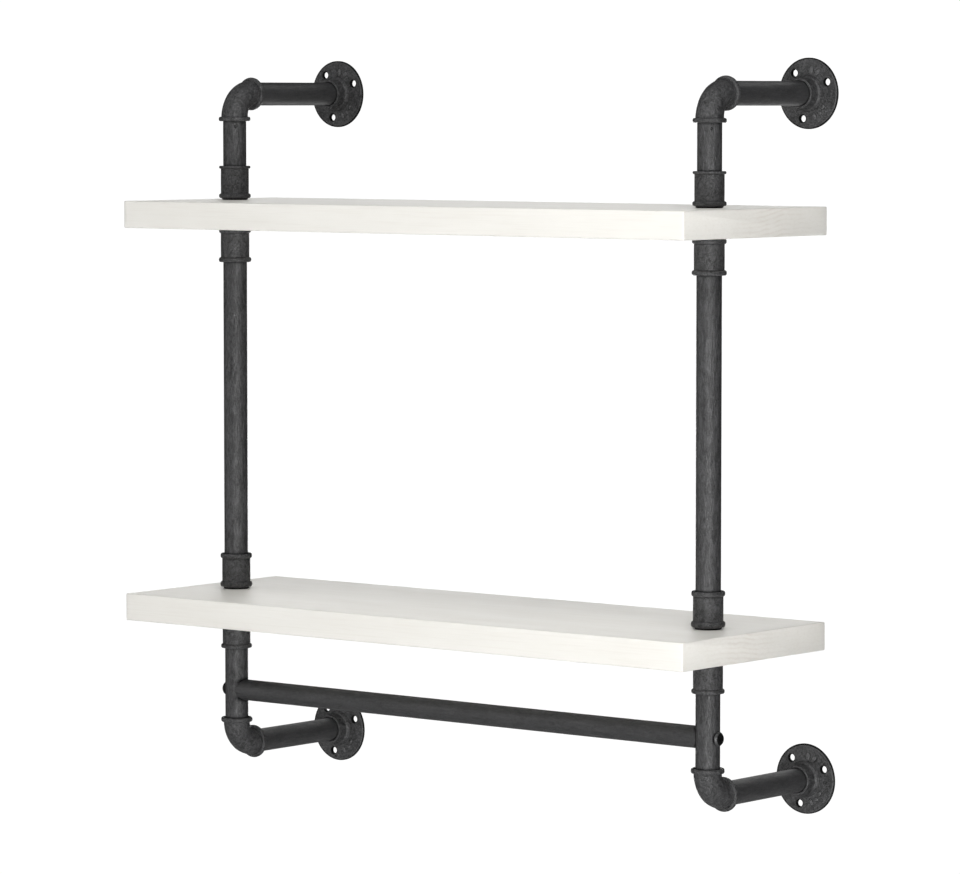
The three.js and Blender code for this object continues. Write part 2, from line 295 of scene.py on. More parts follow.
def piece(node, me, place, material, seed, sharp=38.0, crevice_shade=None, painted_highlight=None):
    """Makes the finished object for a CAD node. me is in local millimetres, and place puts it in the frame's
    millimetres.
    The first of the two optional functions gives, from the local points, how much painted shade darkens the coat at
    each, 0 to 1, laid in cracks, holes and joints where shade falls, and the second how much a painted highlight
    lightens it there."""
    co, no = coords(me), normals(me)
    for name, give in (("crevice_shade", crevice_shade), ("painted_highlight", painted_highlight)):
        if give is not None:
            made = me.attributes.new(name, "FLOAT", "POINT")
            made.data.foreach_set("value", np.clip(give(co), 0, 1).astype(np.float32))
    tex = me.attributes.new("tex", "FLOAT_VECTOR", "POINT")
    shift = np.array([(seed * 0.137) % 1.0, (seed * 0.311) % 1.0, (seed * 0.523) % 1.0])
    tex.data.foreach_set("vector", (co * 0.001 + shift).astype(np.float32).ravel())
    bend = me.attributes.new("bend", "FLOAT", "POINT")
    bend.data.foreach_set("value", bends(me, co, no).astype(np.float32))
    m = np.array(place, float)
    set_coords(me, (co @ m[:3, :3].T + m[:3, 3]) * 0.001)
    me.polygons.foreach_set("use_smooth", np.ones(len(me.polygons), bool))
    me.set_sharp_from_angle(angle=math.radians(sharp))
    me.materials.clear()
    me.materials.append(material)
    ob = bpy.data.objects.new("look_" + node, me)
    bpy.context.scene.collection.objects.link(ob)
    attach(ob, "root")
    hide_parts(node)
    PIECES.append(ob)
    return ob


def at(x, y, z, turn=None):
    m = Matrix.Translation((x, y, z))
    return m @ turn if turn is not None else m


X180 = Matrix.Rotation(math.pi, 4, "X")
Y180 = Matrix.Rotation(math.pi, 4, "Y")
Z_TO_Y = Matrix.Rotation(-math.pi / 2, 4, "X")      # local Z to +Y
Z_TO_BACK = Matrix.Rotation(math.pi / 2, 4, "X")    # local Z to -Y
Z_TO_X = Matrix.Rotation(math.pi / 2, 4, "Y")       # local Z to +X

# ------------------------------------------------------------------ materials


class Nodes:
    """Short helpers for building one material's node tree."""

    def __init__(self, name):
        self.m = bpy.data.materials.new(name)
        self.m.use_nodes = True
        self.t = self.m.node_tree
        self.bsdf = self.t.nodes["Principled BSDF"]

    def add(self, kind, **values):
        n = self.t.nodes.new(kind)
        for k, v in values.items():
            if k in n.inputs:
                n.inputs[k].default_value = v
            else:
                setattr(n, k, v)
        return n

    def link(self, a, b):
        self.t.links.new(a, b)

    def math(self, op, a, b=None, clamp=False):
        n = self.t.nodes.new("ShaderNodeMath")
        n.operation, n.use_clamp = op, clamp
        for k, v in enumerate((a, b)):
            if v is None:
                continue
            if isinstance(v, (int, float)):
                n.inputs[k].default_value = v
            else:
                self.link(v, n.inputs[k])
        return n.outputs[0]

    def scaled(self, vector, scale):
        n = self.t.nodes.new("ShaderNodeVectorMath")
        n.operation = "MULTIPLY"
        self.link(vector, n.inputs[0])
        n.inputs[1].default_value = scale
        return n.outputs[0]

    def noise(self, vector, scale, detail=4.0, rough=0.55, distortion=0.0):
        n = self.add("ShaderNodeTexNoise", Scale=scale, Detail=detail, Roughness=rough, Distortion=distortion)
        self.link(vector, n.inputs["Vector"])
        return n.outputs["Fac"]

    def ramp(self, value, stops, interpolation="LINEAR"):
        n = self.t.nodes.new("ShaderNodeValToRGB")
        n.color_ramp.interpolation = interpolation
        while len(n.color_ramp.elements) < len(stops):
            n.color_ramp.elements.new(0.5)
        for el, (pos, col) in zip(n.color_ramp.elements, stops):
            el.position = pos
            el.color = (col, col, col, 1.0) if isinstance(col, (int, float)) else (*col, 1.0)
        self.link(value, n.inputs[0])
        return n.outputs[0]

    def mix(self, fac, a, b, blend="MIX"):
        n = self.t.nodes.new("ShaderNodeMix")
        n.data_type, n.blend_type = "RGBA", blend
        for sock, v in ((n.inputs[0], fac), (n.inputs[6], a), (n.inputs[7], b)):
            if isinstance(v, (int, float)):
                sock.default_value = v
            elif isinstance(v, tuple):
                sock.default_value = (*v, 1.0)
            else:
                self.link(v, sock)
        return n.outputs[2]

    def bump(self, height, distance, strength=1.0, normal=None):
        n = self.add("ShaderNodeBump", Strength=strength, Distance=distance)
        self.link(height, n.inputs["Height"])
        if normal is not None:
            self.link(normal, n.inputs["Normal"])
        return n.outputs["Normal"]

    def coat_colour(self, colour):
        self.link(colour, self.bsdf.inputs["Base Color"])


def coated_metal(name, base, rough, streak, grit, contrast, wear, gloss=0.5, from_attribute=True):
    """Charcoal powder coat. streak stretches the mottle along the piece's own Z, grit is the depth of the scaly
    grain and contrast the spread of its tone."""
    n = Nodes(name)
    if from_attribute:
        vec = n.add("ShaderNodeAttribute", attribute_name="tex").outputs["Vector"]
    else:
        vec = n.add("ShaderNodeTexCoord").outputs["Object"]
    long = n.scaled(vec, (1.0, 1.0, 1.0 / streak))
    short = n.scaled(vec, (1.0, 1.0, 1.0 / (1.0 + 0.35 * (streak - 1.0))))
    patches = n.noise(long, 95.0, 2.0, 0.5, 0.5)
    mottle = n.noise(long, 310.0, 2.0, 0.55, 1.2)
    scale = n.noise(short, 640.0, 2.0, 0.55, 1.8)
    grain = n.noise(vec, 1500.0, 2.0, 0.5)
    speck = n.noise(vec, 2600.0, 1.0, 0.5)
    tone = n.math("ADD", n.math("MULTIPLY", mottle, 0.5), n.math("MULTIPLY", scale, 0.5))
    dark = tuple(c * (1.0 - 0.8 * contrast) for c in base)
    light = tuple(c * (1.0 + 1.3 * contrast) for c in base)
    colour = n.mix(n.ramp(tone, [(0.36, 0.0), (0.64, 1.0)]), dark, light)
    colour = n.mix(n.ramp(patches, [(0.35, 0.0), (0.65, 0.16)]), colour, tuple(c * 0.45 for c in base))
    colour = n.mix(n.ramp(speck, [(0.63, 0.0), (0.74, 0.45)]), colour, tuple(c * 2.0 for c in base))
    shine = n.math("SUBTRACT", rough + 0.25, n.math("MULTIPLY", tone, 0.5))
    if from_attribute:
        bend = n.add("ShaderNodeAttribute", attribute_name="bend").outputs["Fac"]
        edge = n.ramp(bend, [(0.22, 0.0), (0.9, 1.0)])
        rub = n.math("MULTIPLY", edge, n.ramp(n.noise(vec, 420.0, 4.0, 0.65), [(0.36, 0.15), (0.62, 1.0)]))
        colour = n.mix(n.math("MULTIPLY", rub, wear), colour, tuple(c * 2.2 + 0.006 for c in base))
        # painted shade in hollows: concave places are darkened
        hollow = n.ramp(n.math("MULTIPLY", bend, -1.0), [(0.12, 0.0), (0.7, 0.75)])
        colour = n.mix(hollow, colour, tuple(c * 0.3 for c in base))
        # painted highlight: the coat is lightened by the amount each piece gives per point
        highlight_fac = n.add("ShaderNodeAttribute", attribute_name="painted_highlight").outputs["Fac"]
        highlight_fac = n.math("MULTIPLY", highlight_fac, n.ramp(scale, [(0.38, 0.35), (0.6, 1.0)]))
        colour = n.mix(highlight_fac, colour, tuple(c * 2.6 + 0.01 for c in base))
        # painted shade in cracks, holes and joints: the coat is darker, rougher and less glossy there
        shade_fac = n.add("ShaderNodeAttribute", attribute_name="crevice_shade").outputs["Fac"]
        colour = n.mix(shade_fac, colour, tuple(c * 0.12 for c in base))
        shine = n.math("ADD", shine, n.math("MULTIPLY", shade_fac, 0.4), clamp=True)
        n.link(n.math("MULTIPLY", n.math("SUBTRACT", 1.0, n.math("MULTIPLY", shade_fac, 0.8)), gloss), n.bsdf.inputs["Specular IOR Level"])
    n.coat_colour(colour)
    n.link(shine, n.bsdf.inputs["Roughness"])
    b0 = n.bump(patches, 0.0006 * grit, 1.0)
    b1 = n.bump(mottle, 0.0007 * grit, 1.0, b0)
    b2 = n.bump(scale, 0.00042 * grit, 1.0, b1)
    b3 = n.bump(grain, 0.00006 * grit, 1.0, b2)
    n.link(b3, n.bsdf.inputs["Normal"])
    n.bsdf.inputs["Metallic"].default_value = 0.0
    n.bsdf.inputs["Specular IOR Level"].default_value = gloss
    return n.m


def pale_wood(name):
    n = Nodes(name)
    vec = n.add("ShaderNodeAttribute", attribute_name="tex").outputs["Vector"]
    # growth rings show on the sawn ends as nearly level lines with one gentle step in them
    local = n.add("ShaderNodeAttribute", attribute_name="local").outputs["Vector"]
    lean = n.add("ShaderNodeAttribute", attribute_name="lean").outputs["Fac"]
    sep = n.t.nodes.new("ShaderNodeSeparateXYZ")
    n.link(local, sep.inputs[0])
    x, y, z = sep.outputs
    end = n.math("MULTIPLY", n.math("SUBTRACT", n.math("ABSOLUTE", x), (BOARD_L / 2 - 0.9) * 0.001), 1400.0, clamp=True)
    face = n.math("SUBTRACT", 1.0, end)
    t = n.math("MULTIPLY", y, 27.0)
    clean = n.math("EXPONENT", n.math("MULTIPLY", n.math("MULTIPLY", t, t), -1.0))
    clean = n.math("ADD", n.math("MULTIPLY", clean, 0.85), 0.15)
    endgrain = n.math("MULTIPLY", end, clean)
    step = n.math("MULTIPLY", n.math("TANH", n.math("MULTIPLY", y, 48.0)), lean)
    wander = n.noise(n.scaled(vec, (3.0, 30.0, 18.0)), 1.0, 2.0, 0.5)
    wobble = n.noise(n.scaled(vec, (14.0, 85.0, 150.0)), 1.0, 2.0, 0.55)
    level = n.math("ADD", n.math("SUBTRACT", z, step), n.math("ADD", n.math("MULTIPLY", wander, 0.0045), n.math("MULTIPLY", wobble, 0.0022)))
    ring = n.math("FRACT", n.math("MULTIPLY", level, 258.0))
    late = n.ramp(ring, [(0.0, 0.0), (0.42, 0.25), (0.7, 1.0), (0.88, 0.55), (1.0, 0.0)])
    fibre = n.noise(n.scaled(vec, (16.0, 560.0, 560.0)), 1.0, 3.0, 0.6)
    pore = n.noise(n.scaled(vec, (60.0, 1900.0, 1900.0)), 1.0, 2.0, 0.5)
    cross = n.noise(n.scaled(vec, (60.0, 240.0, 620.0)), 1.0, 3.0, 0.6)
    patch = n.noise(n.scaled(vec, (4.0, 60.0, 110.0)), 1.0, 2.0, 0.5)
    lines = n.math("MULTIPLY", n.math("MULTIPLY", late, endgrain), n.ramp(patch, [(0.34, 0.2), (0.6, 1.0)]))
    wash = n.noise(n.scaled(vec, (7.0, 30.0, 30.0)), 1.0, 3.0, 0.6)
    colour = n.mix(n.ramp(wash, [(0.35, 0.0), (0.7, 1.0)]), (0.821, 0.804, 0.755), (0.856, 0.842, 0.798))
    colour = n.mix(n.math("MULTIPLY", endgrain, 0.6), colour, (0.875, 0.85, 0.80))
    colour = n.mix(n.math("MULTIPLY", lines, 0.32), colour, (0.61, 0.55, 0.475))
    colour = n.mix(n.math("MULTIPLY", n.ramp(cross, [(0.48, 0.0), (0.72, 1.0)]), n.math("MULTIPLY", end, 0.15)), colour, (0.62, 0.58, 0.52))
    colour = n.mix(n.math("MULTIPLY", n.ramp(fibre, [(0.50, 0.0), (0.70, 1.0)]), n.math("MULTIPLY", face, 0.19)), colour, (0.70, 0.66, 0.60))
    colour = n.mix(n.ramp(pore, [(0.60, 0.0), (0.74, 0.06)]), colour, (0.93, 0.925, 0.90))
    # painted shade round the castings that bear on the board: a soft darker ring in place of their contact shadow
    out_x = n.math("SUBTRACT", n.math("ABSOLUTE", x), UPRIGHT_X * 0.001)
    out_y = n.math("SUBTRACT", y, n.add("ShaderNodeAttribute", attribute_name="hole_y").outputs["Fac"])
    reach = n.math("SQRT", n.math("ADD", n.math("MULTIPLY", out_x, out_x), n.math("MULTIPLY", out_y, out_y)))
    contact_shade = n.ramp(n.math("MULTIPLY", n.math("ADD", reach, n.math("MULTIPLY", n.math("SUBTRACT", wash, 0.5), 0.006)), 25.0),
                  [(0.0, 1.0), (0.32, 1.0), (0.62, 0.0)], "EASE")
    colour = n.mix(n.math("MULTIPLY", contact_shade, 0.12), colour, (0.38, 0.36, 0.33))
    n.coat_colour(colour)
    n.link(n.math("ADD", n.math("MULTIPLY", fibre, 0.25), 0.50), n.bsdf.inputs["Roughness"])
    b1 = n.bump(lines, 0.00010, 1.0)
    b2 = n.bump(fibre, 0.00009, 1.0, b1)
    b3 = n.bump(pore, 0.00004, 1.0, b2)
    n.link(b3, n.bsdf.inputs["Normal"])
    n.bsdf.inputs["Specular IOR Level"].default_value = 0.3
    return n.m


PIPE = coated_metal("charcoal_coated_pipe", (0.032, 0.032, 0.033), 0.46, 4.0, 0.9, 0.9, 0.5, 0.51)
CAST = coated_metal("charcoal_coated_casting", (0.034, 0.034, 0.035), 0.47, 1.3, 1.0, 1.1, 0.6, 0.5)
ARM = coated_metal("charcoal_coated_arm", (0.034, 0.034, 0.035), 0.46, 4.0, 0.4, 0.3, 0.4, 0.55)
BAR = coated_metal("charcoal_coated_bar", (0.029, 0.029, 0.030), 0.46, 5.0, 0.4, 0.35, 0.4, 0.47)
HIDDEN = coated_metal("charcoal_hidden_steel", (0.034, 0.034, 0.035), 0.52, 1.0, 0.4, 0.4, 0.0, 0.5, from_attribute=False)
SCREW = coated_metal("black_oxide_screw", (0.034, 0.034, 0.035), 0.42, 1.0, 0.25, 0.3, 0.5, 0.45)
WOOD = pale_wood("whitewashed_wood")

# ------------------------------------------------------------------ pipes


def pipe_mesh(span, seed, segments=120, radius=PIPE_R):
    outline = rounded([
        (PIPE_BORE_R, -THREAD_L, 0.4), (THREAD_END_R, -THREAD_L, 0.4), (9.95, -0.2, 0.5), (radius, 0.3, 0.3),
        (radius, span - 0.3, 0.3), (9.95, span + 0.2, 0.5), (THREAD_END_R, span + THREAD_L, 0.4),
        (PIPE_BORE_R, span + THREAD_L, 0.4),
    ])
    verts, faces = turned(fine(outline, 1.6), segments)
    me = raw_mesh("pipe", verts, faces)
    co, no = coords(me), normals(me)
    outer = np.hypot(co[:, 0], co[:, 1]) > radius - 0.3
    inside = outer & (co[:, 2] > 0.3) & (co[:, 2] < span - 0.3)
    relief = 0.05 * cloud(co + seed * 31.7, (5.0, 5.0, 17.0), 3) + 0.035 * cloud(co + seed * 11.1, (2.4, 2.4, 7.0), 7, 2)
    set_coords(me, co + no * (relief * inside)[:, None])
    return me


def pit(me, height, azimuth):
    """A small blind pit in the pipe's wall, on the side that faces azimuth (0 is -Y, 90 is +X)."""
    a = math.radians(azimuth)
    v, f = turned([(0.0, -1.05)] + [(1.05 * math.cos(t), 1.05 * math.sin(t)) for t in np.linspace(-math.pi / 2, math.pi / 2, 13)[1:-1]] + [(0.0, 1.05)], 24)
    v = v * (1.0, 1.0, 1.5) + (PIPE_R * math.sin(a), -PIPE_R * math.cos(a), height)
    return booleans(me, cutters=[raw_mesh("pit", v, f)])


def drill(me, radius, height):
    v, f = turned([(0.0, -30.0), (radius, -30.0), (radius, 30.0), (0.0, 30.0)], 40)
    cutter = raw_mesh("drill", v @ np.array(Z_TO_X.to_3x3()).T + (0, 0, height), f)
    return booleans(me, cutters=[cutter])


# ------------------------------------------------------------------ couplings


def coupling_mesh(seed, kind, segments=144):
    """Local Z runs from the board to the coupling's far end."""
    L, body_r, (near_z, near_tip, near_depth, near_half), (far_e, far_tip, far_depth, far_half) = COUPLINGS[kind]
    outline = rounded([(MOUTH_R, 0, 0.15), (MOUTH_R + 0.62, 0, 0.2), (11.35, 0.75, 0.5), (11.75, near_z - near_half + 0.15, 0.2)], 3)
    outline += band(near_z, near_tip, near_depth, near_half, near_half * 0.93, (body_r, 0.6))
    outline += [(body_r + 0.05, L / 2)]
    outline += band(L - far_e, far_tip, far_depth, far_half, (body_r, 0.6), min(far_e, far_half * 0.97))
    outline += rounded([(MOUTH_R + 0.9, L, 0.3), (MOUTH_R, L - 0.6, 0.2), (SOCKET_END_R, L - SOCKET_L, 0.3), (SOCKET_END_R, SOCKET_L, 0.3), (MOUTH_R, 0.3)])
    verts, faces = turned(fine(outline, 0.8), segments)
    me = raw_mesh("coupling", verts, faces)
    co, no = coords(me), normals(me)
    r = np.hypot(co[:, 0], co[:, 1])
    outer = np.clip((r - 11.9) / 0.3, 0, 1) * (co[:, 2] > 0.6)
    relief = 0.05 * cloud(co + seed * 23.9, 4.6, 11) + 0.035 * cloud(co + seed * 7.7, 1.7, 19, 2)
    inner = np.clip((co[:, 2] - 6.4) / 1.0, 0, 1) * np.clip((L - 5.4 - co[:, 2]) / 1.0, 0, 1)
    seam = 0.10 * np.exp(-(co[:, 1] / 0.75) ** 2) * inner
    set_coords(me, co + no * ((relief + seam) * outer)[:, None])
    return me


# ------------------------------------------------------------------ elbows


def elbow_mesh(seed, upper, segments=128):
    straight = REACH - BEND_R
    arc = BEND_R * math.pi / 2
    total = 2 * straight + arc

    def along(s):
        """Centre and the in-plane outward direction (away from the bend's centre) at distance s from the lower port."""
        if s <= straight:
            return np.array([0, 0, -REACH + s]), np.array([0, -1.0, 0])
        if s >= straight + arc:
            return np.array([0, BEND_R + (s - straight - arc), 0]), np.array([0, 0, 1.0])
        a = (s - straight) / BEND_R
        return (np.array([0, BEND_R * (1 - math.cos(a)), BEND_R * (math.sin(a) - 1)]),
                np.array([0, -math.cos(a), math.sin(a)]))

    T = total
    # outline in (radius, distance along the centre line): outside first, then back through the inside
    outline = [(MOUTH_R + 0.9, 0)]
    outline += band(1.95, 13.92, 1.75, 1.95 if upper else 2.15, 1.93, (11.7, 0.35), foot=0.05)
    outline += [(11.55, 8.0), (11.4, 12.0), (11.35, T / 2), (11.4, T - 12.0), (11.55, T - 8.0)]
    outline += band(T - 2.1, 14.5, 2.1, 2.25, (11.7, 0.4), 2.08, foot=0.1)
    outline += rounded([
        (MOUTH_R + 0.9, T, 0.2), (MOUTH_R, T - 0.6, 0.1), (SOCKET_END_R, T - SOCKET_L, 0.2), (PIPE_BORE_R, T - SOCKET_L, 0.2),
        (PIPE_BORE_R, SOCKET_L, 0.2), (SOCKET_END_R, SOCKET_L, 0.2), (MOUTH_R, 0.6),
    ], 4)
    pts = fine(outline, 0.95)
    ang = np.arange(segments) * 2 * math.pi / segments
    verts, faces = [], []
    for r, s in pts:
        # the tapered sockets are straight, so inside points near a port follow that port's own straight axis
        centre, out = along(s)
        if r < 10.6 and s < SOCKET_L + 0.01:
            centre, out = np.array([0, 0, -REACH + s]), np.array([0, -1.0, 0])
        if r < 10.6 and s > T - SOCKET_L - 0.01:
            centre, out = np.array([0, REACH - (T - s), 0]), np.array([0, 0, 1.0])
        side = np.array([1.0, 0, 0])
        for t in ang:
            verts.append(centre + r * (math.cos(t) * out + math.sin(t) * side))
    n = len(pts)
    for k in range(n):
        for j in range(segments):
            j2 = (j + 1) % segments
            faces.append([k * segments + j, k * segments + j2, ((k + 1) % n) * segments + j2, ((k + 1) % n) * segments + j])
    me = raw_mesh("elbow", verts, faces)
    co, no = coords(me), normals(me)
    # distance from the centre line tells the outside from the inside
    a = np.arctan2(co[:, 2] + BEND_R, BEND_R - co[:, 1])
    near = np.where(
        (co[:, 1] >= BEND_R - 1e-6)[:, None], np.stack([co[:, 0] * 0, co[:, 1], co[:, 0] * 0], 1),
        np.where((co[:, 2] <= -BEND_R + 1e-6)[:, None], np.stack([co[:, 0] * 0, co[:, 0] * 0, co[:, 2]], 1),
                 np.stack([co[:, 0] * 0, BEND_R * (1 - np.cos(a)), BEND_R * (np.sin(a) - 1)], 1)))
    dist = np.linalg.norm(co - near, axis=1)
    outer = np.clip((dist - 10.7) / 0.4, 0, 1)
    ends = np.clip((co[:, 2] + REACH) / 0.8, 0, 1) * np.clip((REACH - co[:, 1]) / 0.8, 0, 1)
    body = np.clip((12.6 - dist) / 0.5, 0, 1)
    relief = 0.11 * cloud(co + seed * 19.3, 5.0, 29) + 0.06 * cloud(co + seed * 5.3, 1.7, 31, 2)
    seam = 0.05 * np.exp(-(co[:, 0] / 0.9) ** 2) * body
    set_coords(me, co + no * ((relief + seam) * outer * ends)[:, None])
    return me


# ------------------------------------------------------------------ wall flanges


def hole_centres():
    return [(HOLE_CIRCLE * math.cos(math.radians(a)), HOLE_CIRCLE * math.sin(math.radians(a))) for a in HOLE_ANGLES]


# plain raised pads left by the casting pattern: (angle, radius, half length, half width, turn from radial)
PADS = ((80, 19.5, 3.5, 1.9, 6), (61, 20.0, 3.3, 1.7, -14), (-53, 20.6, 1.7, 1.4, 20), (-70, 20.4, 2.9, 1.6, 4), (-36, 19.4, 2.0, 1.4, 90))


def flange_mesh():
    T, H, R = PLATE, HUB_H, FLANGE_R
    outline = rounded([
        (8.2, 0, 0.3), (R - 0.25, 0, 0.3), (R, 0.35, 0.3), (R, T - 1.15, 0.35), (R - 1.05, T + 0.06, 0.35), (R - 1.9, T - 0.12, 0.5),
        (20.0, T, 2.0), (15.3, T + 0.05, 0.5), (14.35, 5.0, 0.5), (12.95, 6.7, 0.5), (12.7, 9.0, 1.0), (HUB_R, H, 0.8),
        (MOUTH_R + 0.5, H, 0.35), (MOUTH_R, H - 0.6, 0.2), (SOCKET_END_R, H - SOCKET_L, 0.3), (8.2, H - SOCKET_L, 0.3),
    ], 6)
    verts, faces = turned(fine(outline, 0.8), 200)
    me = raw_mesh("flange", verts, faces)
    co, no = coords(me), normals(me)
    face_up = np.clip((co[:, 2] - 1.2) / 0.8, 0, 1) * (np.hypot(co[:, 0], co[:, 1]) > 11.2) * np.clip((H - 0.2 - co[:, 2]) / 0.5, 0, 1)
    relief = 0.14 * cloud(co, 6.5, 41) + 0.14 * cloud(co + 3.1, 2.6, 43, 2)
    face_up = face_up * np.clip((R - 0.25 - np.hypot(co[:, 0], co[:, 1])) / 0.6, 0, 1)
    set_coords(me, co + no * (relief * face_up)[:, None])
    cutters, added = [], []
    for x, y in hole_centres():
        v, f = turned(rounded([(0.0, -1.0), (HOLE_R + 0.9, -1.0), (HOLE_R, 0.15, 0.2), (HOLE_R, T - 0.55, 0.2), (HOLE_R + 2.4, T + 1.85), (0.0, T + 1.85)]), 56)
        cutters.append(raw_mesh("hole", v + (x, y, 0), f))
    for angle, radius, long, wide, turn in PADS:
        a, b = math.radians(angle), math.radians(angle + turn)
        ring = [(math.cos(t), math.sin(t)) for t in np.linspace(-math.pi / 2, math.pi / 2, 13)]
        v, f = turned([(0.0, -1.0)] + ring[1:-1] + [(0.0, 1.0)], 28)
        v = v[:, [2, 1, 0]] * (long, wide, 0.75)
        c, s = math.cos(b), math.sin(b)
        v = np.stack([v[:, 0] * c - v[:, 1] * s + radius * math.cos(a), v[:, 0] * s + v[:, 1] * c + radius * math.sin(a), v[:, 2] + T - 0.05], 1)
        added.append(raw_mesh("pad", v, f))
    return booleans(me, cutters=cutters, joined=added)


def rim_line(co):
    """Radius inside which the plate's face is bare of the painted shade, a dark line round its rim that is wider
    towards local -X.
    """
    r = np.maximum(np.hypot(co[:, 0], co[:, 1]), 1.0)
    return FLANGE_R - 1.2 + 0.7 * co[:, 0] / r


# painted shade: a dark line round the plate's rim and a dark ring round each screw hole
def flange_shade(co):
    r, z = np.hypot(co[:, 0], co[:, 1]), co[:, 2]
    out = np.clip((r - rim_line(co)) / 0.3, 0, 1) * np.clip((z - 0.2) / 0.3, 0, 1)
    for x, y in hole_centres():
        d = np.hypot(co[:, 0] - x, co[:, 1] - y)
        out = np.maximum(out, np.clip((HOLE_R + 0.95 - d) / 0.35, 0, 1))
    return out


# painted highlight: a light ring inside the rim, a light arc round the hub's foot towards local +X, and lighter raised
# pads
def flange_highlight(co):
    r, z = np.hypot(co[:, 0], co[:, 1]), co[:, 2]
    out = 0.45 * np.exp(-((r - (rim_line(co) - 0.75)) / 0.4) ** 2) * (z > 1.5)
    lit_side = np.clip(co[:, 0] / np.maximum(r, 1.0), 0, 1) ** 4
    out = np.maximum(out, 0.7 * np.exp(-((r - 13.65) / 0.45) ** 2) * (z > 4.8) * (z < 7.0) * lit_side)
    for angle, radius, long, wide, turn in PADS:
        a, b = math.radians(angle), math.radians(angle + turn)
        dx, dy = co[:, 0] - radius * math.cos(a), co[:, 1] - radius * math.sin(a)
        u, v = dx * math.cos(b) + dy * math.sin(b), dy * math.cos(b) - dx * math.sin(b)
        out = np.maximum(out, np.clip((1.12 - np.hypot(u / long, v / wide)) * 4.0, 0, 1) * (z > PLATE + 0.15) * (z < PLATE + 1.5))
    return out


# ------------------------------------------------------------------ boards


def board_mesh(seed):
    """A plank lofted along X from a rounded section, with eased and slightly uneven edges and two drilled holes."""
    L, D, T, R = BOARD_L / 2, BOARD_D / 2, BOARD_T / 2, 1.1
    ny, nz, nc = 50, 8, 4

    def section(inset):
        d, t, r = D - inset, T - inset, max(R - inset, 0.25)
        pts = []
        for cy, cz, a0 in ((d - r, t - r, 0), (-(d - r), t - r, 90), (-(d - r), -(t - r), 180), (d - r, -(t - r), 270)):
            for k in range(nc + 1):
                a = math.radians(a0 + 90 * k / nc)
                pts.append((cy + r * math.cos(a), cz + r * math.sin(a)))
        full = []
        for k, p in enumerate(pts):
            q = pts[(k + 1) % len(pts)]
            full.append(p)
            if (k + 1) % (nc + 1) == 0:
                m = ny if abs(q[0] - p[0]) > abs(q[1] - p[1]) else nz
                full += [(p[0] + (q[0] - p[0]) * j / m, p[1] + (q[1] - p[1]) * j / m) for j in range(1, m)]
        return full

    stations = [(-L, R), (-L + R * 0.13, R * 0.5), (-L + R * 0.5, R * 0.13)]
    stations += [(x, 0.0) for x in np.linspace(-L + R, L - R, 150)]
    stations += [(L - R * 0.5, R * 0.13), (L - R * 0.13, R * 0.5), (L, R)]
    verts, faces, n = [], [], None
    for x, inset in stations:
        sec = section(inset)
        n = len(sec)
        verts += [(x, y, z) for y, z in sec]
    for k in range(len(stations) - 1):
        for j in range(n):
            j2 = (j + 1) % n
            faces.append([k * n + j, k * n + j2, (k + 1) * n + j2, (k + 1) * n + j])
    faces.append(list(range(n))[::-1])
    faces.append([(len(stations) - 1) * n + j for j in range(n)])
    me = raw_mesh("board", verts, faces)
    co, no = coords(me), normals(me)
    corner = np.clip((np.abs(co[:, 1]) - (D - 1.6)) / 0.8, 0, 1) * np.clip((np.abs(co[:, 2]) - (T - 1.6)) / 0.8, 0, 1)
    uneven = -0.16 * np.clip(cloud(co + seed * 13.0, (38.0, 6.0, 6.0), 53, 3) + 0.15, 0, 1) * corner
    set_coords(me, co + no * uneven[:, None])
    cutters = []
    for side in (-1, 1):
        v, f = turned(rounded([(0.0, -T - 2), (13.4, -T - 2), (10.6, -T + 0.8, 0.4), (10.6, T - 0.8, 0.4), (13.4, T + 2), (0.0, T + 2)]), 72)
        cutters.append(raw_mesh("bore", v + (side * UPRIGHT_X, UPRIGHT_Y - BOARD_Y, 0), f))
    return booleans(me, cutters=cutters)


# ------------------------------------------------------------------ the bar and its screws


def bar_mesh(segments=96):
    """A tube along X whose ends follow the uprights' round sides."""
    saddle = PIPE_R + 0.3
    ang = np.arange(segments) * 2 * math.pi / segments
    rows = []

    def end_x(r, t):
        y = r * math.cos(t)
        return UPRIGHT_X - math.sqrt(saddle ** 2 - y * y)

    inner = 245.0
    stations = np.linspace(-inner, inner, 197)
    lip = ((BAR_R - 0.75, 0.0), (BAR_R - 0.35, 0.18), (BAR_R - 0.08, 0.5), (BAR_R, 0.95), (BAR_R, 1.7), (BAR_R, 2.6))
    outer_rows = [("end", -1, r, inset) for r, inset in lip]
    outer_rows += [("x", x, BAR_R) for x in stations]
    outer_rows += [("end", 1, r, inset) for r, inset in lip[::-1]]
    inner_rows = [("end", 1, BAR_BORE_R, 0.2), ("x", inner, BAR_BORE_R), ("x", -inner, BAR_BORE_R), ("end", -1, BAR_BORE_R, 0.2)]
    for row in outer_rows + inner_rows:
        line = []
        for t in ang:
            if row[0] == "x":
                line.append((row[1], row[2] * math.cos(t), row[2] * math.sin(t)))
            else:
                _, side, r, inset = row
                line.append((side * (end_x(r, t) - inset), r * math.cos(t), r * math.sin(t)))
        rows.append(line)
    verts = [p for line in rows for p in line]
    n = len(rows)
    faces = []
    for k in range(n):
        for j in range(segments):
            j2 = (j + 1) % segments
            faces.append([k * segments + j, k * segments + j2, ((k + 1) % n) * segments + j2, ((k + 1) % n) * segments + j])
    me = raw_mesh("bar", verts, faces)
    co, no = coords(me), normals(me)
    outer = (np.hypot(co[:, 1], co[:, 2]) > BAR_R - 0.2) & (np.abs(co[:, 0]) < 247)
    relief = 0.04 * cloud(co, (20.0, 5.0, 5.0), 61) + 0.02 * cloud(co, (5.0, 2.0, 2.0), 67, 2)
    set_coords(me, co + no * (relief * outer)[:, None])
    # the coat's mottle runs along local Z, so the bar is made along X and turned to it
    turn = np.array(Z_TO_X.to_3x3())
    set_coords(me, coords(me) @ turn)
    return me


